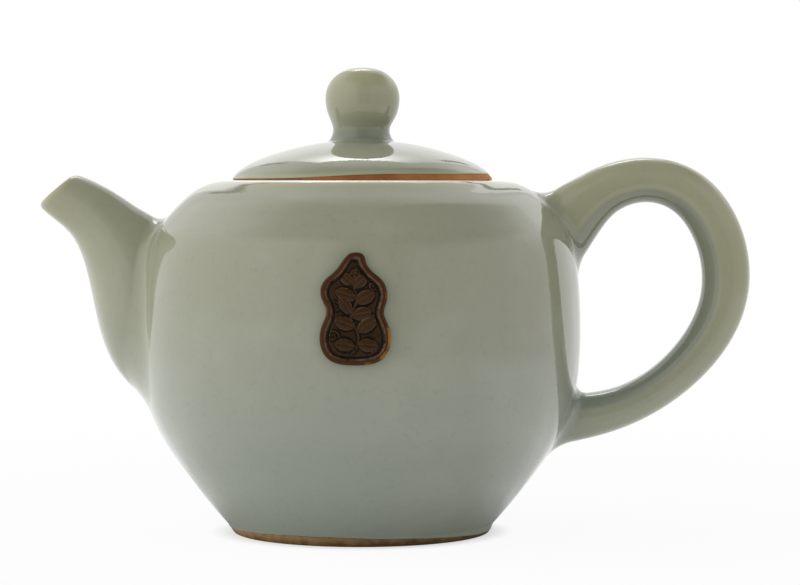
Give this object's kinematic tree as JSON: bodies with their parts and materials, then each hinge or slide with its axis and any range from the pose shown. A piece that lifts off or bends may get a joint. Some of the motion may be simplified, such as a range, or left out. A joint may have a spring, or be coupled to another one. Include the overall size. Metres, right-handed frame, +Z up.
{
  "type": "teapot",
  "caption": "Round glazed teapot on a bare foot ring, with a short spout, a strainer behind it, an ear handle, a front plaque and a loose domed lid with a ball knob.",
  "frame": {"origin": "on the table under the pot, midway between the lip of the spout and the back of the handle", "axes": "+Z up along the pot's turning axis; +X from the spout to the handle; -Y towards the front, where the plaque is"},
  "size_m": [0.1422, 0.089, 0.0927],
  "materials": {
    "celadon_glaze": "gloss grey-green glaze with a faint crackle",
    "foot_clay": "bare fired clay",
    "lid_clay": "bare fired clay",
    "plaque_glaze": "dark brown gloss glaze"
  },
  "bodies": {
    "pot": {"pot_wall": "celadon_glaze", "foot_ring": "foot_clay", "spout": "celadon_glaze", "spout_strainer": "celadon_glaze", "handle": "celadon_glaze", "seal_plaque": "plaque_glaze"},
    "lid": {"lid_cap": "celadon_glaze", "lid_flange": "lid_clay", "lid_knob": "celadon_glaze"}
  },
  "joints": [
    {"name": "lid_lift", "type": "slide", "parent": "pot", "child": "lid", "axis": [0, 0, 1], "range_m": [0, 0.06]}
  ]
}
